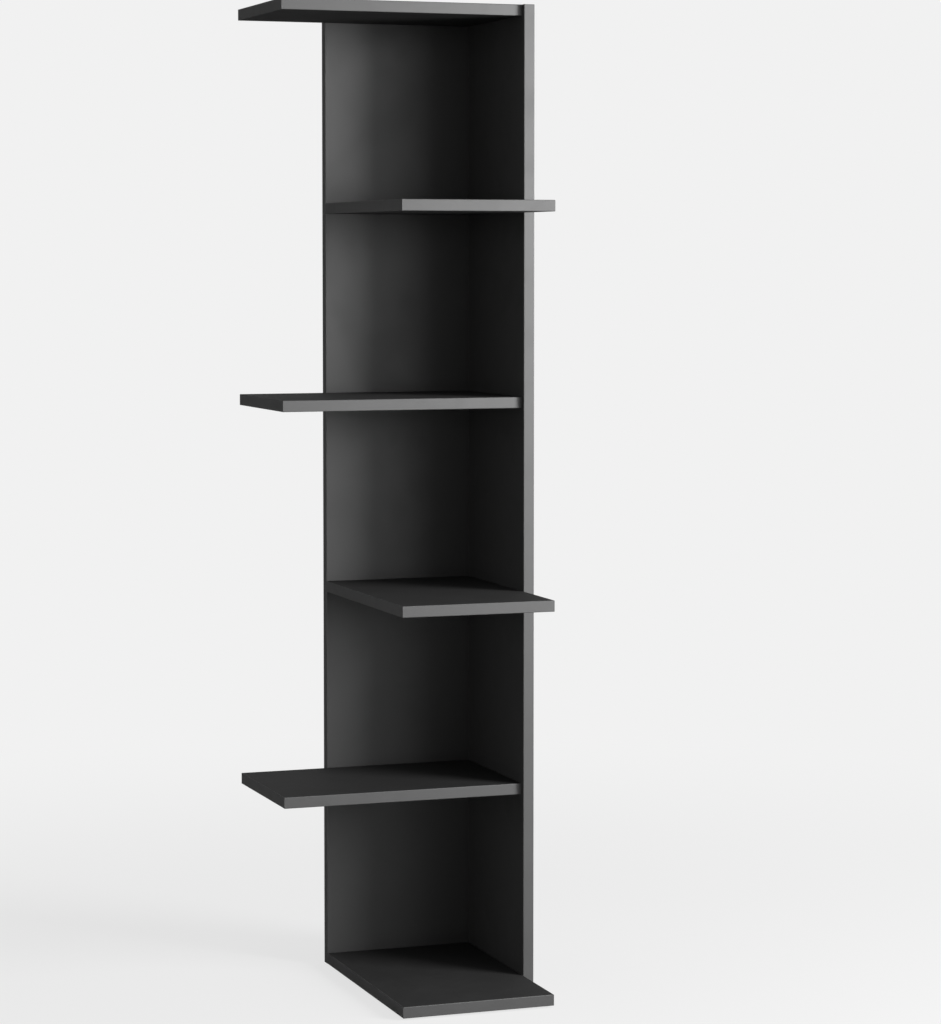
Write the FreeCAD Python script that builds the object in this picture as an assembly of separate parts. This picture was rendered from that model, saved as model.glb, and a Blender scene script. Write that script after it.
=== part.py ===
import FreeCAD, Part
import os
from math import cos, pi, sin
from FreeCAD import Placement, Rotation, Vector

# Corner shelf. Two upright panels meet at a right angle and carry six equal boards, one above
# the other. By turns a board lies along the back panel and juts out to the left, or lies along
# the side panel and juts out to the front. All are coated chipboard with glued edge bands, held
# by countersunk screws and dowels that enter from the two faces turned to the walls.
# Millimetres, +Z up, +X right, +Y to the back wall. The origin is on the floor, under the
# middle of the square plan.

# Boards, named from the floor up
board_thickness = 18.0
shelf_length = 400.0
shelf_depth = 252.0
shelf_pitch = 314.0  # from one underside to the next
side_panel_lip = 10.0  # the side panel's front edge stands this far before the left boards
front_shelves = ["base_shelf", "lower_front_shelf", "upper_front_shelf"]
left_shelves = ["lower_left_shelf", "middle_left_shelf", "top_shelf"]

# Edge bands, trimmed to a radius of their own thickness
band_thickness = 1.0

# Countersunk one-piece connecting screws with a hexagon socket
screw_length = 50.0
screw_sides = 10  # flat sides of the screws and their holes
screw_head_width = 10.0
screw_head_sink = 0.3  # below the panel's face
screw_shank_width = 7.0
screw_shank_length = 13.0
screw_core_width = 4.8
screw_tip_width = 2.4
screw_tip_length = 4.0
socket_across_flats = 4.0
socket_depth = 3.2
screw_inset = 50.0  # from either end of a joint as long as the shelf is deep
hole_clearance = 0.2  # on the width
pilot_relief = 3.0  # drilled past the screw's tip
drill_run_out = 1.0  # cut past an open face

# Wooden dowels
dowel_width = 8.0
dowel_sides = 8
dowel_length = 30.0
dowel_in_panel = 10.0
dowel_chamfer = 1.0
dowel_clearance = 0.1  # on the width
dowel_relief = 1.0  # at each end

# Joint between the two panels: a screw at mid height of each compartment, a dowel below it
corner_dowel_drop = 80.0

# Push-in floor glides under the base
glide_height = 3.0
glide_width = 20.0
glide_sides = 12
glide_edge = 1.0  # chamfer round the sole
glide_peg_width = 6.0
glide_peg_length = 8.0
glide_peg_taper = 0.8
glide_inset = 32.0  # from the base's edges

# Angles on the top that tie the shelf to the wall
angle_thickness = 2.0
angle_width = 20.0
angle_rise = 18.0
angle_bend = 1.5  # inside radius
angle_corner = 3.0  # chamfer
angle_inset = 28.0  # from the ends of the back panel to the middle of an angle
wall_hole_width = 5.5
wall_hole_height = 11.0  # above the top shelf
angle_screw_setback = 12.0  # in front of the back panel
angle_end = 10.0  # from that screw to the end of the angle
angle_screw_width = 4.0
angle_screw_core_width = 2.8
angle_screw_length = 14.0
angle_screw_head_width = 8.0
angle_screw_head_height = 2.4
angle_screw_crown_width = 4.0

# Derived places
floor_level = glide_height
half_plan = (shelf_length + board_thickness) / 2
inner_x = half_plan - board_thickness  # inner face of the side panel
inner_y = half_plan - board_thickness  # front face of the back panel
panel_left = inner_x - shelf_depth
side_front = inner_y - shelf_depth - side_panel_lip
level_count = len(front_shelves) + len(left_shelves)
panel_height = (level_count - 1) * shelf_pitch + board_thickness
top_level = floor_level + panel_height
screw_places = [screw_inset, shelf_depth - screw_inset]
dowel_places = [shelf_depth / 2]

up = Vector(0, 0, 1)
down = Vector(0, 0, -1)
right = Vector(1, 0, 0)
left = Vector(-1, 0, 0)
back = Vector(0, 1, 0)
front = Vector(0, -1, 0)

nodes = {}


def block(low, high):
    size = high - low
    return Part.makeBox(size.x, size.y, size.z, low)


def faceted(outline, sides):
    # Flat-sided round piece about Z, from (width, height) of its rings: copies of it stay light
    rings = []
    for width, height in outline:
        turns = [2 * pi * k / sides for k in range(sides)]
        rings.append([Vector(width / 2 * cos(turn), width / 2 * sin(turn), height) for turn in turns])
    outlines = [rings[0], rings[-1]]
    for low, high in zip(rings, rings[1:]):
        outlines += [[low[k - 1], low[k], high[k], high[k - 1]] for k in range(sides)]
    shell = Part.makeShell([Part.Face(Part.makePolygon(ring + ring[:1])) for ring in outlines])
    shell.sewShape()
    solid = Part.makeSolid(shell)
    return solid if solid.Volume > 0 else solid.reversed()


def along(shape, place, direction):
    # A copy of a piece made about Z, with its Z axis turned to the direction
    copy = shape.copy()
    copy.Placement = Placement(place, Rotation(up, direction))
    return copy


def at_sites(shape, sites):
    return [along(shape, place, direction) for place, direction in sites]


def drilled(board, tools):
    return board.cut(tools).Solids[0]


def edge_band(start, run, outward, length):
    # Strip with a flat glued face and two rounded arrises, on the board's middle plane
    radius = band_thickness
    half = board_thickness / 2
    flat = half - radius
    chord = radius * sin(pi / 4)
    low_arc = Part.Arc(Vector(0, 0, -half), Vector(0, chord, -flat - chord), Vector(0, radius, -flat))
    high_arc = Part.Arc(Vector(0, radius, flat), Vector(0, chord, flat + chord), Vector(0, 0, half))
    lines = [
        low_arc,
        Part.LineSegment(Vector(0, radius, -flat), Vector(0, radius, flat)),
        high_arc,
        Part.LineSegment(Vector(0, 0, half), Vector(0, 0, -half)),
    ]
    section = Part.Face(Part.Wire([line.toShape() for line in lines]))
    strip = section.extrude(Vector(length, 0, 0))
    strip.Placement = Placement(start, Rotation(run, outward, run.cross(outward), "XYZ"))
    return strip


# Fasteners are made about Z: the joint's plane is at zero, the panel below it, the edge above

def connecting_screw():
    head_top = screw_head_sink - board_thickness
    cone_end = head_top + (screw_head_width - screw_shank_width) / 2
    shank_end = head_top + screw_shank_length
    tip_end = head_top + screw_length
    body = faceted([
        (screw_head_width, head_top),
        (screw_shank_width, cone_end),
        (screw_shank_width, shank_end),
        (screw_core_width, shank_end),
        (screw_core_width, tip_end - screw_tip_length),
        (screw_tip_width, tip_end),
    ], screw_sides)
    across_corners = socket_across_flats / cos(pi / 6)
    socket = faceted([(across_corners, head_top), (across_corners, head_top + socket_depth)], 6)
    return body.cut(socket).Solids[0]


def connecting_screw_drill():
    # One stepped hole: countersink and clearance in the panel, pilot in the board's edge
    head_top = screw_head_sink - board_thickness
    past_face = screw_head_sink + drill_run_out
    cone_end = head_top + (screw_head_width - screw_shank_width) / 2
    pilot_end = head_top + screw_length + pilot_relief
    return faceted([
        (screw_head_width + hole_clearance + 2 * past_face, head_top - past_face),
        (screw_shank_width + hole_clearance, cone_end),
        (screw_shank_width + hole_clearance, 0),
        (screw_core_width + hole_clearance, 0),
        (screw_core_width + hole_clearance, pilot_end),
    ], screw_sides)


def dowel():
    panel_end = -dowel_in_panel
    edge_end = dowel_length - dowel_in_panel
    return faceted([
        (dowel_width - 2 * dowel_chamfer, panel_end),
        (dowel_width, panel_end + dowel_chamfer),
        (dowel_width, edge_end - dowel_chamfer),
        (dowel_width - 2 * dowel_chamfer, edge_end),
    ], dowel_sides)


def dowel_drill():
    panel_end = -dowel_in_panel - dowel_relief
    edge_end = dowel_length - dowel_in_panel + dowel_relief
    width = dowel_width + dowel_clearance
    return faceted([(width, panel_end), (width, edge_end)], dowel_sides)


def glide():
    # Made with its peg along Z and the base's underside at zero
    return faceted([
        (glide_width - 2 * glide_edge, -glide_height),
        (glide_width, glide_edge - glide_height),
        (glide_width, 0),
        (glide_peg_width, 0),
        (glide_peg_width, glide_peg_length - glide_peg_taper),
        (glide_peg_width - 2 * glide_peg_taper, glide_peg_length),
    ], glide_sides)


def glide_drill():
    width = glide_peg_width + hole_clearance
    return faceted([(width, 0), (width, glide_peg_length + pilot_relief)], glide_sides)


def wall_angle():
    # Bent steel strip, made with its middle at X zero, its back on the wall and its foot at Z zero
    reach = board_thickness + angle_screw_setback + angle_end
    outside = angle_bend + angle_thickness
    bend = Vector(0, -outside, outside)  # centre of both bend radii
    slant = Vector(0, sin(pi / 4), -sin(pi / 4))
    foot_end = Vector(0, -reach, 0)
    wall_end = Vector(0, 0, angle_rise)
    lines = [
        Part.LineSegment(foot_end, bend + down * outside),
        Part.Arc(bend + down * outside, bend + slant * outside, bend + back * outside),
        Part.LineSegment(bend + back * outside, wall_end),
        Part.LineSegment(wall_end, wall_end + front * angle_thickness),
        Part.LineSegment(wall_end + front * angle_thickness, bend + back * angle_bend),
        Part.Arc(bend + back * angle_bend, bend + slant * angle_bend, bend + down * angle_bend),
        Part.LineSegment(bend + down * angle_bend, foot_end + up * angle_thickness),
        Part.LineSegment(foot_end + up * angle_thickness, foot_end),
    ]
    section = Part.Face(Part.Wire([line.toShape() for line in lines]))
    section.translate(left * (angle_width / 2))
    strip = section.extrude(right * angle_width)
    ends = []
    for edge in strip.Edges:
        middle = edge.CenterOfMass
        on_side = abs(abs(middle.x) - angle_width / 2) < Part.Precision.confusion()
        across_foot = abs(middle.y + reach) < Part.Precision.confusion()
        across_wall = abs(middle.z - angle_rise) < Part.Precision.confusion()
        if on_side and (across_foot or across_wall):
            ends.append(edge)
    strip = strip.makeChamfer(angle_corner, ends)
    wall_hole = Part.makeCylinder(wall_hole_width / 2, angle_thickness,
                                  Vector(0, 0, wall_hole_height), front)
    screw_hole = Part.makeCylinder((angle_screw_width + hole_clearance) / 2, angle_thickness,
                                   Vector(0, -board_thickness - angle_screw_setback, 0))
    return strip.cut([wall_hole, screw_hole]).Solids[0]


def angle_screw():
    # Round-headed wood screw, made with its point along Z and the head's seat at zero
    return faceted([
        (angle_screw_crown_width, -angle_screw_head_height),
        (angle_screw_head_width, 0),
        (angle_screw_width, 0),
        (angle_screw_width, angle_thickness),
        (angle_screw_core_width, angle_thickness),
        (angle_screw_core_width, angle_screw_length),
    ], screw_sides)


def angle_screw_drill():
    width = angle_screw_core_width + hole_clearance
    return faceted([(width, angle_thickness), (width, angle_screw_length + pilot_relief)], screw_sides)


# Places of the joints. A shelf's own frame has the inner corner at its origin, X along its
# length and Y across its depth, on the board's middle plane. One pose is the other turned over.

def shelf_pose(level, lies_left):
    middle = floor_level + level * shelf_pitch + board_thickness / 2
    turn = Rotation(left, front, up, "XYZ") if lies_left else Rotation(front, left, down, "XYZ")
    return Placement(Vector(inner_x, inner_y, middle), turn)


def edge_sites(places):
    sites = [(Vector(place, 0, 0), Vector(0, 1, 0)) for place in places]
    sites += [(Vector(0, place, 0), Vector(1, 0, 0)) for place in places]
    return sites


def in_pose(sites, pose):
    return [(pose.multVec(place), pose.Rotation.multVec(way)) for place, way in sites]


def through(sites, way):
    return [site for site in sites if site[1].dot(way) > cos(pi / 4)]


levels = {}
for number, name in enumerate(front_shelves):
    levels[name] = (2 * number, False)
for number, name in enumerate(left_shelves):
    levels[name] = (2 * number + 1, True)
poses = {name: shelf_pose(*level) for name, level in levels.items()}

screw_sites = []
dowel_sites = []
for pose in poses.values():
    screw_sites += in_pose(edge_sites(screw_places), pose)
    dowel_sites += in_pose(edge_sites(dowel_places), pose)

corner_screw_sites = []
corner_dowel_sites = []
for level in range(level_count - 1):
    compartment_middle = floor_level + level * shelf_pitch + (shelf_pitch + board_thickness) / 2
    place = Vector(inner_x, inner_y + board_thickness / 2, compartment_middle)
    corner_screw_sites.append((place, left))
    corner_dowel_sites.append((place + down * corner_dowel_drop, left))

base_low = Vector(panel_left, inner_y - shelf_length, floor_level)
glide_sites = []
for x in (base_low.x + glide_inset, inner_x - glide_inset):
    for y in (base_low.y + glide_inset, inner_y - glide_inset):
        glide_sites.append((Vector(x, y, floor_level), up))

angle_places = {"wall_angle_left": panel_left + angle_inset, "wall_angle_right": inner_x - angle_inset}
angle_screw_sites = []
for x in angle_places.values():
    seat = Vector(x, inner_y - angle_screw_setback, top_level + angle_thickness)
    angle_screw_sites.append((seat, down))

# Drillings, shared by every board that a joint passes through
screw_drill = connecting_screw_drill()
back_drills = at_sites(screw_drill, through(screw_sites, front))
side_drills = at_sites(screw_drill, through(screw_sites, left))
corner_drills = at_sites(screw_drill, corner_screw_sites)
back_drills += at_sites(dowel_drill(), through(dowel_sites, front))
side_drills += at_sites(dowel_drill(), through(dowel_sites, left))
corner_drills += at_sites(dowel_drill(), corner_dowel_sites)
glide_drills = at_sites(glide_drill(), glide_sites)
angle_drills = at_sites(angle_screw_drill(), angle_screw_sites)

# Upright panels. The side panel covers the end of the back panel.
back_middle = inner_y + board_thickness / 2
side_middle = inner_x + board_thickness / 2
core_top = top_level - band_thickness

back_core = block(Vector(panel_left + band_thickness, inner_y, floor_level),
                  Vector(inner_x, half_plan, core_top))
nodes["back_panel"] = drilled(back_core, back_drills + corner_drills)
nodes["back_panel_left_band"] = edge_band(
    Vector(panel_left + band_thickness, back_middle, floor_level), up, left, panel_height)
nodes["back_panel_top_band"] = edge_band(
    Vector(panel_left + band_thickness, back_middle, core_top), right, up, shelf_depth - band_thickness)

side_core = block(Vector(inner_x, side_front + band_thickness, floor_level),
                  Vector(half_plan, half_plan - band_thickness, core_top))
nodes["side_panel"] = drilled(side_core, side_drills + corner_drills)
nodes["side_panel_front_band"] = edge_band(
    Vector(side_middle, side_front + band_thickness, floor_level), up, front, panel_height)
nodes["side_panel_rear_band"] = edge_band(
    Vector(side_middle, half_plan - band_thickness, floor_level), up, back, panel_height)
nodes["side_panel_top_band"] = edge_band(
    Vector(side_middle, side_front + band_thickness, core_top), back, up,
    half_plan - side_front - 2 * band_thickness)

# Shelves: three banded edges, and a bare end that meets a panel
shelf_core = block(Vector(0, band_thickness, -board_thickness / 2),
                   Vector(shelf_length - band_thickness, shelf_depth - band_thickness, board_thickness / 2))
shelf_bands = {
    "long": edge_band(Vector(0, shelf_depth - band_thickness, 0), right, back, shelf_length),
    "inner": edge_band(Vector(0, band_thickness, 0), right, front, shelf_length),
    "end": edge_band(Vector(shelf_length - band_thickness, band_thickness, 0), back, right,
                     shelf_depth - 2 * band_thickness),
}
band_sides = {True: {"long": "front", "inner": "rear", "end": "left"},
              False: {"long": "left", "inner": "right", "end": "front"}}

for name, (level, lies_left) in levels.items():
    pose = poses[name]
    drills = at_sites(screw_drill, in_pose(edge_sites(screw_places), pose))
    drills += at_sites(dowel_drill(), in_pose(edge_sites(dowel_places), pose))
    if level == 0:
        drills += glide_drills
    if level == level_count - 1:
        drills += angle_drills
    core = shelf_core.copy()
    core.Placement = pose
    nodes[name] = drilled(core, drills)
    for edge, side in band_sides[lies_left].items():
        band = shelf_bands[edge].copy()
        band.Placement = pose.multiply(band.Placement)
        nodes[name + "_" + side + "_band"] = drilled(band, drills) if edge == "inner" else band

# Fasteners and fittings
screw = connecting_screw()
nodes["back_panel_screws"] = Part.makeCompound(at_sites(screw, through(screw_sites, front)))
nodes["side_panel_screws"] = Part.makeCompound(at_sites(screw, through(screw_sites, left)))
nodes["corner_screws"] = Part.makeCompound(at_sites(screw, corner_screw_sites))
peg = dowel()
nodes["back_panel_dowels"] = Part.makeCompound(at_sites(peg, through(dowel_sites, front)))
nodes["side_panel_dowels"] = Part.makeCompound(at_sites(peg, through(dowel_sites, left)))
nodes["corner_dowels"] = Part.makeCompound(at_sites(peg, corner_dowel_sites))
nodes["floor_glides"] = Part.makeCompound(at_sites(glide(), glide_sites))
for name, x in angle_places.items():
    angle = wall_angle()
    angle.translate(Vector(x, half_plan, top_level))
    nodes[name] = angle
nodes["wall_angle_screws"] = Part.makeCompound(at_sites(angle_screw(), angle_screw_sites))

os.makedirs("parts", exist_ok=True)
for name, shape in nodes.items():
    shape.exportStep("parts/" + name + ".step")
print(len(nodes), "nodes,", sum(len(shape.Solids) for shape in nodes.values()), "solids")
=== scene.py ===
# Corner shelf in satin black: finishes for its boards, and its fasteners remade in full detail
import math

import bmesh
import bpy
from mathutils import Matrix, Vector


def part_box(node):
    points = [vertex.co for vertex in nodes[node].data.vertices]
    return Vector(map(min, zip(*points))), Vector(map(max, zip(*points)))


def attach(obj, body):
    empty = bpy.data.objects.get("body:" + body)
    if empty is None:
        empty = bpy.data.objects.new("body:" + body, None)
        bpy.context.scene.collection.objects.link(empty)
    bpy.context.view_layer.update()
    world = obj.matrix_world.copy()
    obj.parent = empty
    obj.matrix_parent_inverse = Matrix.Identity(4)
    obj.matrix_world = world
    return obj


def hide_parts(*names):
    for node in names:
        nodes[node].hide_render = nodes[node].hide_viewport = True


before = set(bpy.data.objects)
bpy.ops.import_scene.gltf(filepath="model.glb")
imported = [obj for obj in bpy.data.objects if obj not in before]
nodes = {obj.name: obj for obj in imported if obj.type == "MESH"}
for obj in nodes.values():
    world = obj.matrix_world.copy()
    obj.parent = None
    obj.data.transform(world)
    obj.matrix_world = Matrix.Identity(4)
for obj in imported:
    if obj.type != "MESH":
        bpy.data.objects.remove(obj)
scene = bpy.context.scene
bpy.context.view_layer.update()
mm = 0.001
print("frame loaded:", len(nodes), "nodes")


# Helpers for node trees

def put(tree, kind, inputs=None, **settings):
    node = tree.nodes.new("ShaderNode" + kind)
    for key, value in settings.items():
        setattr(node, key, value)
    for key, value in (inputs or {}).items():
        if isinstance(value, bpy.types.NodeSocket):
            tree.links.new(value, node.inputs[key])
        else:
            node.inputs[key].default_value = value
    return node


def maths(tree, operation, first, second):
    return put(tree, "Math", {0: first, 1: second}, operation=operation).outputs[0]


def plus(tree, first, second):
    return maths(tree, "ADD", first, second)


def times(tree, first, second):
    return maths(tree, "MULTIPLY", first, second)


def fade(tree, value, lowIn, highIn, lowOut=0.0, highOut=1.0):
    sockets = {"Value": value, "From Min": lowIn, "From Max": highIn, "To Min": lowOut, "To Max": highOut}
    return put(tree, "MapRange", sockets, interpolation_type="SMOOTHSTEP").outputs["Result"]


def mixColour(tree, factor, first, second):
    return put(tree, "Mix", {0: factor, 6: first, 7: second}, data_type="RGBA").outputs[2]


def mixValue(tree, factor, first, second):
    return put(tree, "Mix", {0: factor, 2: first, 3: second}, data_type="FLOAT").outputs[0]


def noise(tree, where, scale, detail=2.0, roughness=0.5, distortion=0.0):
    sockets = {"Vector": where, "Scale": scale, "Detail": detail, "Roughness": roughness,
               "Distortion": distortion}
    return put(tree, "TexNoise", sockets).outputs[0]


def stretched(tree, where, scale):
    return put(tree, "Mapping", {"Vector": where, "Scale": scale}).outputs[0]


def grey(level):
    return (level, level, level, 1.0)


noiseSpan = (0.2, 0.8)  # nearly all of a noise lies between these
slantSpan = (0.3, 0.72)  # Layer Weight's Facing at 46 and at 74 degrees off square


def around(tree, value, middle, spread):
    # Lets a noise swing a value a little to either side
    return fade(tree, value, *noiseSpan, middle - spread, middle + spread)


def slant(tree, dulls):
    # The dimples of a texture shade each other at a slant, so the gloss dulls there
    facing = put(tree, "LayerWeight", {"Blend": 0.5}).outputs["Facing"]
    return fade(tree, facing, *slantSpan, 0.0, dulls)


def squareness(tree):
    # How squarely the surface faces along X, Y and Z, either way
    normal = put(tree, "TexCoord").outputs["Normal"]
    unsigned = put(tree, "VectorMath", {0: normal}, operation="ABSOLUTE").outputs[0]
    return put(tree, "SeparateXYZ", {0: unsigned}).outputs


def newGroup(name, inputs, outputs):
    group = bpy.data.node_groups.new(name, "ShaderNodeTree")
    for socket, value in inputs.items():
        made = group.interface.new_socket(name=socket, in_out="INPUT", socket_type="NodeSocketFloat")
        made.default_value = value
    for socket, kind in outputs.items():
        group.interface.new_socket(name=socket, in_out="OUTPUT", socket_type="NodeSocket" + kind)
    return group, group.nodes.new("NodeGroupInput").outputs, group.nodes.new("NodeGroupOutput").inputs


def place(tree, group, **inputs):
    node = tree.nodes.new("ShaderNodeGroup")
    node.node_tree = group
    for key, value in inputs.items():
        node.inputs[key].default_value = value
    return node.outputs


def newMaterial(name, **sockets):
    material = bpy.data.materials.new(name)
    material.use_nodes = True
    shader = material.node_tree.nodes["Principled BSDF"]
    for key, value in sockets.items():
        shader.inputs[key.replace("_", " ")].default_value = value
    return material, material.node_tree, shader


def finishWith(tree, shader, colour, roughness, height, depth):
    bump = put(tree, "Bump", {"Height": height, "Distance": depth, "Strength": 1.0})
    tree.links.new(colour, shader.inputs["Base Color"])
    tree.links.new(roughness, shader.inputs["Roughness"])
    tree.links.new(bump.outputs[0], shader.inputs["Normal"])


# Shared effect: the fine pearl of a press plate, soft dimples under a finer grain
pearl = {"dimples": 900.0, "smoothness": 0.6, "grain": 2600.0, "grainShare": 0.5, "clouds": 3.5}


def pressedTexture():
    tree, given, out = newGroup("pressedTexture", {"Dimples": pearl["dimples"], "Grain": pearl["grain"]},
                                {"Height": "Float", "Shade": "Float"})
    where = put(tree, "TexCoord").outputs["Object"]
    sockets = {"Vector": where, "Scale": given["Dimples"], "Smoothness": pearl["smoothness"]}
    dimples = put(tree, "TexVoronoi", sockets, feature="SMOOTH_F1").outputs["Distance"]
    grain = noise(tree, where, given["Grain"], detail=3.0)
    tree.links.new(plus(tree, dimples, times(tree, grain, pearl["grainShare"])), out["Height"])
    tree.links.new(noise(tree, where, pearl["clouds"], detail=4.0, roughness=0.6), out["Shade"])
    return tree


# Shared effect: wiped smears that dull the sheen, and dust that settles on what faces up
handMarks = {"smears": 9.0, "smearSpan": (0.42, 0.68), "wipes": (14.0, 60.0, 14.0), "wipeSpan": (0.3, 0.75),
             "wipeLeast": 0.4, "film": 30.0, "filmSpan": (0.38, 0.75), "filmMost": 0.6, "specks": 260.0,
             "speckSpan": (0.16, 0.05), "speckMost": 0.5, "facesUp": (0.6, 0.95)}


def handling():
    tree, given, out = newGroup("handling", {"Smears": handMarks["smears"], "Dust": 1.0},
                                {"Smear": "Float", "Dust": "Float"})
    coordinates = put(tree, "TexCoord").outputs
    where = coordinates["Object"]
    cloud = noise(tree, where, given["Smears"], detail=5.0, roughness=0.62, distortion=0.8)
    streaks = stretched(tree, where, handMarks["wipes"])
    wipes = noise(tree, streaks, 1.0, detail=3.0, roughness=0.6, distortion=0.4)
    wiped = fade(tree, wipes, *handMarks["wipeSpan"], handMarks["wipeLeast"])
    tree.links.new(times(tree, fade(tree, cloud, *handMarks["smearSpan"]), wiped), out["Smear"])
    film = noise(tree, where, handMarks["film"], detail=6.0, roughness=0.7)
    specks = put(tree, "TexVoronoi", {"Vector": where, "Scale": handMarks["specks"]}).outputs["Distance"]
    settled = plus(tree, fade(tree, film, *handMarks["filmSpan"], 0.0, handMarks["filmMost"]),
                   fade(tree, specks, *handMarks["speckSpan"], 0.0, handMarks["speckMost"]))
    rise = put(tree, "SeparateXYZ", {0: coordinates["Normal"]}).outputs["Z"]
    dust = times(tree, fade(tree, rise, *handMarks["facesUp"]), settled)
    tree.links.new(times(tree, dust, given["Dust"]), out["Dust"])
    return tree


# Shared effect: rounded arrises tilt away from every axis of the shelf, and show rubbing first
rubbing = {"arrisSpan": (0.995, 0.86), "patches": 38.0, "patchSpan": (0.46, 0.7), "amount": 0.5}


def arrisWear():
    tree, given, out = newGroup("arrisWear", {"Amount": rubbing["amount"], "Patches": rubbing["patches"]},
                                {"Wear": "Float"})
    along = squareness(tree)
    squarest = maths(tree, "MAXIMUM", maths(tree, "MAXIMUM", along["X"], along["Y"]), along["Z"])
    arris = fade(tree, squarest, *rubbing["arrisSpan"])
    where = put(tree, "TexCoord").outputs["Object"]
    patches = noise(tree, where, given["Patches"], detail=6.0, roughness=0.72)
    rubbed = times(tree, arris, fade(tree, patches, *rubbing["patchSpan"]))
    tree.links.new(times(tree, rubbed, given["Amount"]), out["Wear"])
    return tree


# Shared effect: the core of a board, flat wood chips in resin
chipboard = {"chips": 420.0, "warps": 160.0, "warpBy": 0.004, "grain": 900.0,
             "dark": (0.17, 0.10, 0.05, 1.0), "pale": (0.55, 0.41, 0.25, 1.0)}


def pressedChips():
    tree, given, out = newGroup("pressedChips", {"Chips": chipboard["chips"]},
                                {"Colour": "Color", "Height": "Float"})
    where = put(tree, "TexCoord").outputs["Object"]
    drift = put(tree, "TexNoise", {"Vector": where, "Scale": chipboard["warps"]}).outputs["Color"]
    reach = (chipboard["warpBy"],) * 3
    shift = put(tree, "VectorMath", {0: drift, 1: reach}, operation="MULTIPLY").outputs[0]
    warped = put(tree, "VectorMath", {0: where, 1: shift}, operation="ADD").outputs[0]
    chips = put(tree, "TexVoronoi", {"Vector": warped, "Scale": given["Chips"]}).outputs
    pick = put(tree, "SeparateXYZ", {0: chips["Color"]}).outputs["X"]
    tree.links.new(mixColour(tree, pick, chipboard["dark"], chipboard["pale"]), out["Colour"])
    grain = noise(tree, where, chipboard["grain"], detail=3.0)
    tree.links.new(plus(tree, chips["Distance"], grain), out["Height"])
    return tree


pressedTextureGroup = pressedTexture()
handlingGroup = handling()
arrisWearGroup = arrisWear()
pressedChipsGroup = pressedChips()
print("shared effects:", len(bpy.data.node_groups))


# Boards: satin black melamine on both faces, bare chipboard wherever a board is cut or drilled
board = {"black": 0.018, "lift": 0.005, "sheen": 0.50, "sheenSwing": 0.03, "smearDulls": 0.06,
         "dustShade": 0.12, "dustAmount": 0.05, "pearlDepth": 0.000012, "faceSpan": (0.93, 0.97),
         "cutSheen": 0.9, "cutRelief": 20.0}
shelfFaceWithPaintedShade = {"gloss": 0.5, "slantDulls": 0.26}  # painted shade: the shelves get less gloss than the panels, which darkens their tops
panelFace = {"gloss": 1.0, "slantDulls": 0.30}


def melamineBoard(name, faceAxis, gloss, slantDulls):
    material, tree, shader = newMaterial(name, Specular_IOR_Level=gloss)
    pressed = place(tree, pressedTextureGroup)
    handled = place(tree, handlingGroup, Dust=board["dustAmount"])
    chips = place(tree, pressedChipsGroup)
    onFace = fade(tree, squareness(tree)[faceAxis], *board["faceSpan"])
    face = mixColour(tree, pressed["Shade"], grey(board["black"]), grey(board["black"] + board["lift"]))
    face = mixColour(tree, handled["Dust"], face, grey(board["dustShade"]))
    colour = mixColour(tree, onFace, chips["Colour"], face)
    sheen = around(tree, pressed["Shade"], board["sheen"], board["sheenSwing"])
    sheen = plus(tree, sheen, times(tree, handled["Smear"], board["smearDulls"]))
    sheen = plus(tree, sheen, handled["Dust"])
    sheen = plus(tree, sheen, slant(tree, slantDulls))
    roughness = mixValue(tree, onFace, board["cutSheen"], sheen)
    height = mixValue(tree, onFace, times(tree, chips["Height"], board["cutRelief"]), pressed["Height"])
    finishWith(tree, shader, colour, roughness, height, board["pearlDepth"])
    return material


# Edge bands: black plastic strip, a little lighter and smoother, greyed where its arrises were scraped
band = {"black": 0.055, "lift": 0.010, "gloss": 1.0, "sheen": 0.47, "sheenSwing": 0.03, "slantDulls": 0.34,
        "dimples": 1300.0, "grain": 3600.0, "pearlDepth": 0.000010, "smears": 16.0, "smearDulls": 0.08,
        "scraping": 0.7, "scraped": 0.13, "scrapedSheen": 0.6, "dustShade": 0.17, "dustAmount": 0.08}


def edgeBandPlastic():
    material, tree, shader = newMaterial("edgeBandPlastic", Specular_IOR_Level=band["gloss"])
    pressed = place(tree, pressedTextureGroup, Dimples=band["dimples"], Grain=band["grain"])
    handled = place(tree, handlingGroup, Smears=band["smears"], Dust=band["dustAmount"])
    wear = place(tree, arrisWearGroup, Amount=band["scraping"])["Wear"]
    colour = mixColour(tree, pressed["Shade"], grey(band["black"]), grey(band["black"] + band["lift"]))
    colour = mixColour(tree, handled["Dust"], colour, grey(band["dustShade"]))
    colour = mixColour(tree, wear, colour, grey(band["scraped"]))
    sheen = around(tree, pressed["Shade"], band["sheen"], band["sheenSwing"])
    sheen = plus(tree, sheen, times(tree, handled["Smear"], band["smearDulls"]))
    sheen = plus(tree, sheen, slant(tree, band["slantDulls"]))
    roughness = mixValue(tree, wear, sheen, band["scrapedSheen"])
    finishWith(tree, shader, colour, roughness, pressed["Height"], band["pearlDepth"])
    return material


# Wall angles: bent steel strip in black powder coat, rubbed to bare steel on its arrises
angleCoat = {"black": 0.016, "gloss": 0.5, "sheen": 0.46, "sheenSwing": 0.06, "slantDulls": 0.36,
             "peel": 1500.0, "peelDepth": 0.00006, "rubbing": 0.35, "patches": 260.0, "rubbed": 0.32,
             "dustShade": 0.2, "dustAmount": 0.25}


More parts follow.
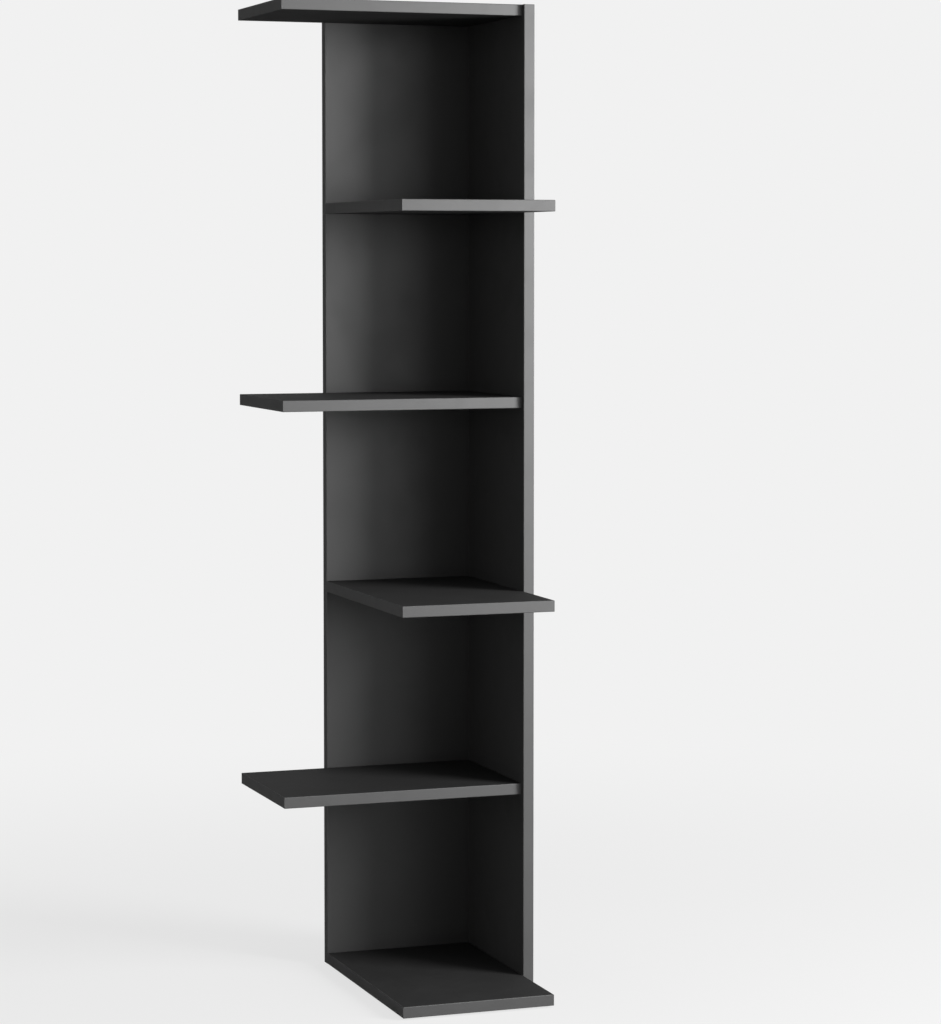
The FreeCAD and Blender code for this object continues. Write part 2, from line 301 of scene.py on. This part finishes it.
def powderCoat():
    material, tree, shader = newMaterial("powderCoat", Specular_IOR_Level=angleCoat["gloss"])
    peel = noise(tree, put(tree, "TexCoord").outputs["Object"], angleCoat["peel"])
    wear = place(tree, arrisWearGroup, Amount=angleCoat["rubbing"], Patches=angleCoat["patches"])["Wear"]
    dust = place(tree, handlingGroup, Dust=angleCoat["dustAmount"])["Dust"]
    colour = mixColour(tree, wear, grey(angleCoat["black"]), grey(angleCoat["rubbed"]))
    colour = mixColour(tree, dust, colour, grey(angleCoat["dustShade"]))
    sheen = around(tree, peel, angleCoat["sheen"], angleCoat["sheenSwing"])
    sheen = plus(tree, sheen, slant(tree, angleCoat["slantDulls"]))
    finishWith(tree, shader, colour, sheen, peel, angleCoat["peelDepth"])
    tree.links.new(wear, shader.inputs["Metallic"])
    return material


# Connecting screws: bright zinc on steel
zinc = {"pale": (0.66, 0.68, 0.70, 1.0), "dull": (0.46, 0.47, 0.47, 1.0), "sheen": 0.30, "dullSheen": 0.48,
        "bloom": 220.0, "bloomSpan": (0.38, 0.68), "scuffs": (1800.0, 1800.0, 500.0),
        "scuffSpan": (0.5, 0.8), "scuffDulls": 0.12, "scuffDepth": 0.00001}


def zincPlate():
    material, tree, shader = newMaterial("zincPlate", Metallic=1.0)
    where = put(tree, "TexCoord").outputs["Object"]
    bloom = noise(tree, where, zinc["bloom"], detail=5.0, roughness=0.65)
    bloom = fade(tree, bloom, *zinc["bloomSpan"])
    scuffs = noise(tree, stretched(tree, where, zinc["scuffs"]), 1.0, detail=3.0)
    colour = mixColour(tree, bloom, zinc["pale"], zinc["dull"])
    sheen = mixValue(tree, bloom, zinc["sheen"], zinc["dullSheen"])
    sheen = plus(tree, sheen, fade(tree, scuffs, *zinc["scuffSpan"], 0.0, zinc["scuffDulls"]))
    finishWith(tree, shader, colour, sheen, scuffs, zinc["scuffDepth"])
    return material


# Screws of the wall angles: black zinc, worn to steel in patches
blackZinc = {"black": 0.035, "worn": 0.34, "sheen": 0.34, "sheenSwing": 0.06, "rubs": 700.0,
             "rubSpan": (0.56, 0.72), "rubMost": 0.6, "grain": 2400.0, "grainDepth": 0.000012}


def blackPlate():
    material, tree, shader = newMaterial("blackPlate", Metallic=1.0)
    where = put(tree, "TexCoord").outputs["Object"]
    rub = noise(tree, where, blackZinc["rubs"], detail=5.0, roughness=0.7)
    rub = fade(tree, rub, *blackZinc["rubSpan"], 0.0, blackZinc["rubMost"])
    grain = noise(tree, where, blackZinc["grain"])
    colour = mixColour(tree, rub, grey(blackZinc["black"]), grey(blackZinc["worn"]))
    sheen = around(tree, grain, blackZinc["sheen"], blackZinc["sheenSwing"])
    finishWith(tree, shader, colour, sheen, grain, blackZinc["grainDepth"])
    return material


# Dowels: bare beech, with its flecks along the dowel
beech = {"pale": (0.60, 0.42, 0.26, 1.0), "dark": (0.40, 0.25, 0.14, 1.0), "fleck": (0.24, 0.13, 0.07, 1.0),
         "gloss": 0.35, "sheen": 0.65, "sheenSwing": 0.1, "alongGrain": 90.0, "acrossGrain": 900.0,
         "fibreSpan": (0.3, 0.7), "fibreDepth": 0.00006, "fleckRatio": 3.0, "fleckSpan": (0.62, 0.72),
         "fleckMost": 0.7}


def beechWood(name, grainAxis):
    material, tree, shader = newMaterial(name, Specular_IOR_Level=beech["gloss"])
    where = put(tree, "TexCoord").outputs["Object"]
    fine = [beech["alongGrain"] if axis == grainAxis else beech["acrossGrain"] for axis in "XYZ"]
    finer = [beech["fleckRatio"] * scale for scale in fine]
    fibres = noise(tree, stretched(tree, where, fine), 1.0, detail=4.0, roughness=0.6)
    flecks = noise(tree, stretched(tree, where, finer), 1.0)
    flecks = fade(tree, flecks, *beech["fleckSpan"], 0.0, beech["fleckMost"])
    colour = mixColour(tree, fade(tree, fibres, *beech["fibreSpan"]), beech["pale"], beech["dark"])
    colour = mixColour(tree, flecks, colour, beech["fleck"])
    sheen = around(tree, fibres, beech["sheen"], beech["sheenSwing"])
    finishWith(tree, shader, colour, sheen, fibres, beech["fibreDepth"])
    return material


# Floor glides: black moulded plastic, scuffed grey on the sole
glidePlastic = {"black": 0.018, "scuffed": 0.14, "gloss": 0.5, "sheen": 0.47, "sheenSwing": 0.05,
                "scuffDulls": 0.25, "spark": 2200.0, "sparkDepth": 0.00002, "soleSpan": (-0.7, -0.95),
                "streaks": (120.0, 900.0, 120.0), "streakSpan": (0.45, 0.7)}


def mouldedPlastic():
    material, tree, shader = newMaterial("mouldedPlastic", Specular_IOR_Level=glidePlastic["gloss"])
    coordinates = put(tree, "TexCoord").outputs
    spark = noise(tree, coordinates["Object"], glidePlastic["spark"])
    rise = put(tree, "SeparateXYZ", {0: coordinates["Normal"]}).outputs["Z"]
    streaks = noise(tree, stretched(tree, coordinates["Object"], glidePlastic["streaks"]), 1.0, detail=4.0)
    scuff = times(tree, fade(tree, rise, *glidePlastic["soleSpan"]),
                  fade(tree, streaks, *glidePlastic["streakSpan"]))
    colour = mixColour(tree, scuff, grey(glidePlastic["black"]), grey(glidePlastic["scuffed"]))
    sheen = around(tree, spark, glidePlastic["sheen"], glidePlastic["sheenSwing"])
    sheen = plus(tree, sheen, times(tree, scuff, glidePlastic["scuffDulls"]))
    finishWith(tree, shader, colour, sheen, spark, glidePlastic["sparkDepth"])
    return material


# Finishes on the boards, bands and angles; the fasteners get theirs with their own pieces
wallAngles = ["wall_angle_left", "wall_angle_right"]
# Painted shade: the shelves' copy of the melamine has less gloss, so their tops read darker
shelfFinishWithPaintedShade = melamineBoard("shelfMelaminePaintedShade", "Z", **shelfFaceWithPaintedShade)
panelFinish = {"back_panel": melamineBoard("backPanelMelamine", "Y", **panelFace),
               "side_panel": melamineBoard("sidePanelMelamine", "X", **panelFace)}
bandFinish = edgeBandPlastic()
coatFinish = powderCoat()


def finishOf(name):
    if name.endswith("_band"):
        return bandFinish
    if name.endswith("_shelf"):
        return shelfFinishWithPaintedShade
    if name in wallAngles:
        return coatFinish
    return panelFinish.get(name)


dressed = [name for name in nodes if finishOf(name)]
for name in dressed:
    nodes[name].data.materials.clear()
    nodes[name].data.materials.append(finishOf(name))
print("nodes finished:", len(dressed))


# Places of the joints, read off the boards
shelfNames = ["base_shelf", "lower_left_shelf", "lower_front_shelf", "middle_left_shelf", "upper_front_shelf",
              "top_shelf"]
innerX, outerX = [corner.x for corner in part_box("side_panel")]
innerY, outerY = [corner.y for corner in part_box("back_panel")]
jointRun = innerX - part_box("back_panel_left_band")[0].x
shelfHeights = [(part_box(name)[0].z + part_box(name)[1].z) / 2 for name in shelfNames]
spaceHeights = [(low + high) / 2 for low, high in zip(shelfHeights, shelfHeights[1:])]
cornerY = (innerY + outerY) / 2  # middle of the back panel's thickness
up = Vector((0.0, 0.0, 1.0))
down = Vector((0.0, 0.0, -1.0))
toLeft = Vector((-1.0, 0.0, 0.0))
toFront = Vector((0.0, -1.0, 0.0))


# Helpers for meshes; radii and depths of turned pieces are in millimetres, round Z
weld = 0.002  # corners nearer than this, in millimetres, are one
sharpTurn = 32.0  # edges that turn by more degrees than this stay sharp


def asObject(bm, name):
    bmesh.ops.recalc_face_normals(bm, faces=bm.faces)
    mesh = bpy.data.meshes.new(name)
    bm.to_mesh(mesh)
    bm.free()
    mesh.shade_smooth()
    mesh.set_sharp_from_angle(angle=math.radians(sharpTurn))
    made = bpy.data.objects.new(name, mesh)
    scene.collection.objects.link(made)
    return made


def turned(outline, steps):
    # Spins (radius, depth) points
    bm = bmesh.new()
    ring = [bm.verts.new((radius * mm, 0.0, depth * mm)) for radius, depth in outline]
    edges = [bm.edges.new(pair) for pair in zip(ring, ring[1:])]
    bmesh.ops.spin(bm, geom=ring + edges, cent=(0, 0, 0), axis=(0, 0, 1), angle=2 * math.pi, steps=steps,
                   use_merge=True)
    bmesh.ops.remove_doubles(bm, verts=bm.verts, dist=weld * mm)
    return bm


def growRim(bm):
    rim = [edge for edge in bm.edges if edge.is_boundary]
    made = bmesh.ops.extrude_edge_only(bm, edges=rim)["geom"]
    return [item for item in made if isinstance(item, bmesh.types.BMVert)]


def stepIn(bm, radiusAt, depthAt):
    # Grows a ring inwards from the open rim: its radius follows the direction, its depth the radius
    for vert in growRim(bm):
        angle = math.atan2(vert.co.y, vert.co.x)
        radius = radiusAt(angle)
        vert.co = (radius * math.cos(angle) * mm, radius * math.sin(angle) * mm, depthAt(radius) * mm)


def closeRim(bm, depth):
    bmesh.ops.pointmerge(bm, verts=growRim(bm), merge_co=(0.0, 0.0, depth * mm))


def steady(value):
    # For a radius or depth that is the same all round
    return lambda given: value


def wind(bm, root, crest, pitch, start, end, steps=14):
    # One closed ridge wound along the core
    flank = 0.3 * pitch
    corners = [(root, start - flank), (crest, start), (root, start + flank)]
    verts = [bm.verts.new((radius * mm, 0.0, depth * mm)) for radius, depth in corners]
    edges = [bm.edges.new((verts[k - 1], verts[k])) for k in range(len(verts))]
    count = round((end - start) / pitch * steps)
    bmesh.ops.spin(bm, geom=verts + edges, cent=(0, 0, 0), axis=(0, 0, 1), dvec=(0, 0, pitch / steps * mm),
                   angle=2 * math.pi * count / steps, steps=count)
    bmesh.ops.holes_fill(bm, edges=[edge for edge in bm.edges if edge.is_boundary], sides=len(verts))


def setAt(bm, sites, name):
    # One piece of many copies, each with its Z axis turned to the site's heading
    pattern = bpy.data.meshes.new(name + "Pattern")
    bm.to_mesh(pattern)
    bm.free()
    whole = bmesh.new()
    for where, heading in sites:
        before = len(whole.verts)
        whole.from_mesh(pattern)
        whole.verts.ensure_lookup_table()
        matrix = Matrix.Translation(where) @ up.rotation_difference(heading).to_matrix().to_4x4()
        bmesh.ops.transform(whole, matrix=matrix, verts=whole.verts[before:])
    bpy.data.meshes.remove(pattern)
    return asObject(whole, name)


def fit(piece, finish, node):
    piece.data.materials.append(finish)
    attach(piece, "root")
    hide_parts(node)


# Connecting screws: flat countersunk head, hexagon socket, plain shank and a coarse thread
screw = {"length": 50.0, "headRadius": 5.0, "rimBevel": 0.16, "rimEdge": 0.04, "rimTuck": 0.06, "sink": 0.3,
         "shankRadius": 3.5, "shankEnd": 13.0, "shoulder": 0.5, "coreRadius": 2.4, "tipRadius": 1.2,
         "tipLength": 4.0, "point": 0.4, "socketFlats": 4.0, "socketRim": 2.7, "socketChamfer": 0.5,
         "socketDepth": 3.2, "drillPoint": 0.7, "outerRing": 0.4, "innerRing": 0.2, "pitch": 3.0,
         "threadFoot": 0.1, "threadSlack": 0.05, "inset": 50.0, "sides": 24}


def connectingScrew():
    head, shank, core = screw["headRadius"], screw["shankRadius"], screw["coreRadius"]
    edge, tuck, rim = screw["rimEdge"], screw["rimTuck"], screw["socketRim"]
    tipStart = screw["length"] - screw["tipLength"]
    bm = turned([
        (head - screw["rimBevel"], 0.0), (head - edge, edge), (head - tuck, 2 * tuck),
        (shank, head - shank + tuck), (shank, screw["shankEnd"]),
        (core, screw["shankEnd"] + screw["shoulder"]), (core, tipStart),
        (screw["tipRadius"], screw["length"] - screw["point"]), (0.0, screw["length"]),
    ], screw["sides"])
    sixth = math.pi / 3

    def hexagon(angle):
        return screw["socketFlats"] / 2 / math.cos(angle % sixth - sixth / 2)

    # The flat rings keep the head's smooth shading even
    for ring in (head - screw["outerRing"], rim + screw["innerRing"], rim):
        stepIn(bm, steady(ring), steady(0.0))
    stepIn(bm, hexagon, steady(screw["socketChamfer"]))
    stepIn(bm, hexagon, steady(screw["socketDepth"]))
    closeRim(bm, screw["socketDepth"] + screw["drillPoint"])
    wind(bm, core - screw["threadFoot"], shank - screw["threadSlack"], screw["pitch"],
         screw["shankEnd"] + screw["pitch"] / 2, tipStart - screw["pitch"] / 2)
    return bm


alongJoint = [screw["inset"] * mm, jointRun - screw["inset"] * mm]
sink = screw["sink"] * mm
backScrewSites = [(Vector((innerX - run, outerY - sink, height)), toFront)
                  for height in shelfHeights for run in alongJoint]
sideScrewSites = [(Vector((outerX - sink, innerY - run, height)), toLeft)
                  for height in shelfHeights for run in alongJoint]
cornerScrewSites = [(Vector((outerX - sink, cornerY, height)), toLeft) for height in spaceHeights]
zincFinish = zincPlate()
for name, node, sites in [("backPanelScrews", "back_panel_screws", backScrewSites),
                          ("sidePanelScrews", "side_panel_screws", sideScrewSites),
                          ("cornerScrews", "corner_screws", cornerScrewSites)]:
    fit(setAt(connectingScrew(), sites, name), zincFinish, node)
print("connecting screws:", len(backScrewSites) + len(sideScrewSites) + len(cornerScrewSites))


# Dowels: fluted, with chamfered ends
dowel = {"radius": 4.0, "length": 30.0, "inPanel": 10.0, "chamfer": 1.0, "flutes": 20, "fluteDepth": 0.3,
         "cornerDrop": 80.0}


def flutedDowel():
    start, end = -dowel["inPanel"], dowel["length"] - dowel["inPanel"]
    tip = dowel["radius"] - dowel["chamfer"]
    bm = turned([(0.0, start), (tip, start), (dowel["radius"], start + dowel["chamfer"]),
                 (dowel["radius"], end - dowel["chamfer"]), (tip, end), (0.0, end)], 2 * dowel["flutes"])
    step = math.pi / dowel["flutes"]
    inside = (tip + dowel["radius"]) / 2 * mm  # the ends stay round within this radius
    for vert in bm.verts:
        radius = math.hypot(vert.co.x, vert.co.y)
        if radius > inside and round(math.atan2(vert.co.y, vert.co.x) / step) % 2:
            shrink = 1.0 - dowel["fluteDepth"] * mm / radius
            vert.co = (vert.co.x * shrink, vert.co.y * shrink, vert.co.z)
    return bm


drop = dowel["cornerDrop"] * mm
backDowelSites = [(Vector((innerX - jointRun / 2, innerY, height)), toFront) for height in shelfHeights]
sideDowelSites = [(Vector((innerX, innerY - jointRun / 2, height)), toLeft) for height in shelfHeights]
cornerDowelSites = [(Vector((innerX, cornerY, height - drop)), toLeft) for height in spaceHeights]
beechAcross = beechWood("beechAcross", "X")
beechDeep = beechWood("beechDeep", "Y")
for name, node, sites, finish in [("backPanelDowels", "back_panel_dowels", backDowelSites, beechDeep),
                                  ("sidePanelDowels", "side_panel_dowels", sideDowelSites, beechAcross),
                                  ("cornerDowels", "corner_dowels", cornerDowelSites, beechAcross)]:
    fit(setAt(flutedDowel(), sites, name), finish, node)
print("dowels:", len(backDowelSites) + len(sideDowelSites) + len(cornerDowelSites))


# Floor glides: a domed sole and a barbed peg; the barb's start and run are shares of its pitch
glide = {"radius": 10.0, "height": 3.0, "soleRound": 2.2, "soleRise": 1.4, "soleSteps": 4, "rimChamfer": 0.3,
         "rimDrop": 0.5, "pegRadius": 3.0, "pegLength": 8.0, "pegTaper": 1.0, "barbs": 3, "barbDepth": 0.35,
         "barbStart": 0.4, "barbRun": 0.7, "barbLip": 0.15, "inset": 32.0, "sides": 48}


def floorGlide():
    radius, height, length = glide["radius"], glide["height"], glide["pegLength"]
    peg, waist = glide["pegRadius"], glide["pegRadius"] - glide["barbDepth"]
    outline = [(0.0, -height)]
    for step in range(glide["soleSteps"] + 1):
        bend = math.pi / 2 * step / glide["soleSteps"]
        outline.append((radius - glide["soleRound"] * (1.0 - math.sin(bend)),
                        -height + glide["soleRise"] * (1.0 - math.cos(bend))))
    outline += [(radius, -glide["rimDrop"]), (radius - glide["rimChamfer"], 0.0), (peg, 0.0)]
    pitch = length / (glide["barbs"] + 1)
    for barb in range(glide["barbs"]):
        foot = pitch * (barb + glide["barbStart"])
        outline += [(waist, foot), (peg, foot + glide["barbLip"]), (waist, foot + pitch * glide["barbRun"])]
    outline += [(waist, length - glide["pegTaper"]), (peg - glide["pegTaper"], length), (0.0, length)]
    return turned(outline, glide["sides"])


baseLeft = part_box("base_shelf_left_band")[0].x
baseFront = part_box("base_shelf_front_band")[0].y
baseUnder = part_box("base_shelf")[0].z
inset = glide["inset"] * mm
glideSites = [(Vector((x, y, baseUnder)), up)
              for x in (baseLeft + inset, innerX - inset) for y in (baseFront + inset, innerY - inset)]
fit(setAt(floorGlide(), glideSites, "floorGlides"), mouldedPlastic(), "floor_glides")
print("floor glides:", len(glideSites))


# Screws of the wall angles: domed head with a cross recess
angleScrew = {"headRadius": 4.0, "headHeight": 2.4, "domeSteps": 5, "rimRadius": 2.3, "armLength": 1.9,
              "recessDepth": 1.5, "recessTaper": 0.7, "recessPoint": 0.3, "neckRadius": 2.0, "shoulder": 0.3,
              "coreRadius": 1.4, "plate": 2.0, "length": 14.0, "tipLength": 3.0, "pitch": 1.5,
              "threadFoot": 0.05, "threadSlack": 0.1, "threadFrom": 1.2, "threadTo": 3.2, "setback": 12.0,
              "sides": 24}


def domedScrew():
    head, height = angleScrew["headRadius"], angleScrew["headHeight"]
    neck, core = angleScrew["neckRadius"], angleScrew["coreRadius"]
    plate, length = angleScrew["plate"], angleScrew["length"]
    ball = (head ** 2 + height ** 2) / (2 * height)  # radius of the dome
    lowest = math.asin(head / ball)
    highest = math.asin(angleScrew["rimRadius"] / ball)

    def onDome(radius):
        return ball - height - math.sqrt(ball ** 2 - radius ** 2)

    steps = angleScrew["domeSteps"]
    rounds = [ball * math.sin(highest + (lowest - highest) * step / steps) for step in range(steps + 1)]
    bm = turned([(radius, onDome(radius)) for radius in rounds] + [
        (neck, 0.0), (neck, plate), (core, plate + angleScrew["shoulder"]),
        (core, length - angleScrew["tipLength"]), (0.0, length),
    ], angleScrew["sides"])
    quarter = math.pi / 2
    armTurn = 2 * math.pi / angleScrew["sides"]  # an arm is two steps of the spin wide
    withinArm = armTurn * 1.01  # takes in the arm's own corners

    def cross(angle):
        bend = min(angle % quarter, quarter - angle % quarter)
        if bend < withinArm:
            return angleScrew["armLength"] / math.cos(bend)
        return angleScrew["armLength"] * math.tan(armTurn) / math.sin(bend)

    def crossFloor(angle):
        return angleScrew["recessTaper"] * cross(angle)

    recess = angleScrew["recessDepth"] - height
    stepIn(bm, cross, onDome)
    stepIn(bm, crossFloor, steady(recess))
    closeRim(bm, recess + angleScrew["recessPoint"])
    wind(bm, core - angleScrew["threadFoot"], neck - angleScrew["threadSlack"], angleScrew["pitch"],
         plate + angleScrew["threadFrom"], length - angleScrew["threadTo"])
    return bm


angleScrewSites = []
seatY = innerY - angleScrew["setback"] * mm
for name in wallAngles:
    low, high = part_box(name)
    seat = Vector(((low.x + high.x) / 2, seatY, low.z + angleScrew["plate"] * mm))
    angleScrewSites.append((seat, down))
fit(setAt(domedScrew(), angleScrewSites, "wallAngleScrews"), blackPlate(), "wall_angle_screws")
print("wall angle screws:", len(angleScrewSites))


# Floor: pale, with a glow for the rays that see it, which far off is as bright as the backdrop
ground = {"radius": 60.0, "sides": 96, "pale": 0.84, "mottle": 0.01, "mottleScale": 2.0, "gloss": 0.2,
          "sheen": 0.8, "fadeSpan": (0.6, 2.6), "nearGlow": 0.94, "nearShare": 0.76}

# Surroundings: pale at the height of the horizon, dimmer above and below; the heights are sines
backdrop = {"pale": 0.88, "ambient": 0.15, "belowFloor": 0.05, "ceiling": 0.14, "lowerSpan": (-0.1, -0.045),
            "upperSpan": (0.09, 0.26)}


def seenDirectly(tree):
    rays = put(tree, "LightPath").outputs
    seen = maths(tree, "MAXIMUM", rays["Is Camera Ray"], rays["Is Glossy Ray"])
    return maths(tree, "MAXIMUM", seen, rays["Is Transmission Ray"])


def paleFloor():
    bm = bmesh.new()
    bmesh.ops.create_circle(bm, cap_ends=True, segments=ground["sides"], radius=ground["radius"])
    floor = asObject(bm, "floor")
    material, tree, shader = newMaterial("paleFloor", Specular_IOR_Level=ground["gloss"],
                                         Roughness=ground["sheen"])
    where = put(tree, "TexCoord").outputs["Object"]
    mottle = noise(tree, where, ground["mottleScale"], detail=4.0)
    colour = mixColour(tree, mottle, grey(ground["pale"] - ground["mottle"]),
                       grey(ground["pale"] + ground["mottle"]))
    tree.links.new(colour, shader.inputs["Base Color"])
    distance = put(tree, "VectorMath", {0: where}, operation="LENGTH").outputs["Value"]
    share = fade(tree, distance, *ground["fadeSpan"], ground["nearShare"])
    share = times(tree, share, seenDirectly(tree))
    level = fade(tree, distance, *ground["fadeSpan"], ground["nearGlow"], backdrop["pale"])
    glow = put(tree, "Emission", {"Color": grey(1.0), "Strength": level}).outputs[0]
    mixed = put(tree, "MixShader", {0: share, 1: shader.outputs[0], 2: glow}).outputs[0]
    tree.links.new(mixed, tree.nodes["Material Output"].inputs["Surface"])
    floor.data.materials.append(material)
    floor.visible_glossy = False  # the boards mirror the backdrop, not the floor


def paleWorld():
    world = bpy.data.worlds.new("studio")
    world.use_nodes = True
    scene.world = world
    tree = world.node_tree
    where = put(tree, "TexCoord").outputs["Generated"]
    rise = put(tree, "SeparateXYZ", {0: where}).outputs["Z"]
    lower = fade(tree, rise, *backdrop["lowerSpan"], backdrop["belowFloor"], backdrop["pale"])
    upper = fade(tree, rise, *backdrop["upperSpan"], backdrop["pale"], backdrop["ceiling"])
    seen = maths(tree, "MINIMUM", lower, upper)
    strength = mixValue(tree, seenDirectly(tree), backdrop["ambient"], seen)
    background = tree.nodes["Background"]
    background.inputs["Color"].default_value = grey(1.0)
    tree.links.new(strength, background.inputs["Strength"])


# Lamps: a soft box in front on the right, a weak one beside it, and soft light from above
keyLamp = {"at": (2.52, -2.43, 1.5), "width": 1.5, "height": 2.1, "power": 155.0}
fillLamp = {"at": (1.59, -3.12, 1.4), "width": 1.5, "height": 2.1, "power": 13.0}
overhead = {"strength": 0.35, "angle": 60.0, "lean": (0.12, -0.1, 0.0)}
lampsAim = Vector((0.0, 0.0, 1.2))


def softBox(name, sizes):
    lamp = bpy.data.lights.new(name, "AREA")
    lamp.shape = "ELLIPSE"
    lamp.size = sizes["width"]
    lamp.size_y = sizes["height"]
    lamp.energy = sizes["power"]
    holder = bpy.data.objects.new(name, lamp)
    holder.location = sizes["at"]
    holder.rotation_euler = (lampsAim - Vector(sizes["at"])).to_track_quat("-Z", "Y").to_euler()
    scene.collection.objects.link(holder)


def lightUp():
    softBox("key", keyLamp)
    softBox("fill", fillLamp)
    sky = bpy.data.lights.new("overhead", "SUN")
    sky.energy = overhead["strength"]
    sky.angle = math.radians(overhead["angle"])
    above = bpy.data.objects.new("overhead", sky)
    above.rotation_euler = overhead["lean"]
    scene.collection.objects.link(above)


# Camera of the photograph: well to the left of the shelf, above its middle, looking slightly down
view = {"at": (-1.5753, -4.7278, 1.1886), "turn": 19.785, "dip": 3.581, "lens": 108.94, "sensor": 36.0,
        "shiftY": -0.06, "reach": 200.0}


def takeView():
    camera = bpy.data.cameras.new("camera")
    camera.lens = view["lens"]
    camera.sensor_width = view["sensor"]
    camera.shift_y = view["shiftY"]
    camera.clip_end = view["reach"]
    holder = bpy.data.objects.new("camera", camera)
    holder.location = view["at"]
    holder.rotation_euler = (math.radians(90.0 - view["dip"]), 0.0, -math.radians(view["turn"]))
    scene.collection.objects.link(holder)
    scene.camera = holder


paleFloor()
paleWorld()
lightUp()
takeView()
scene.view_settings.view_transform = "Standard"
print("stage, lamps and camera set")
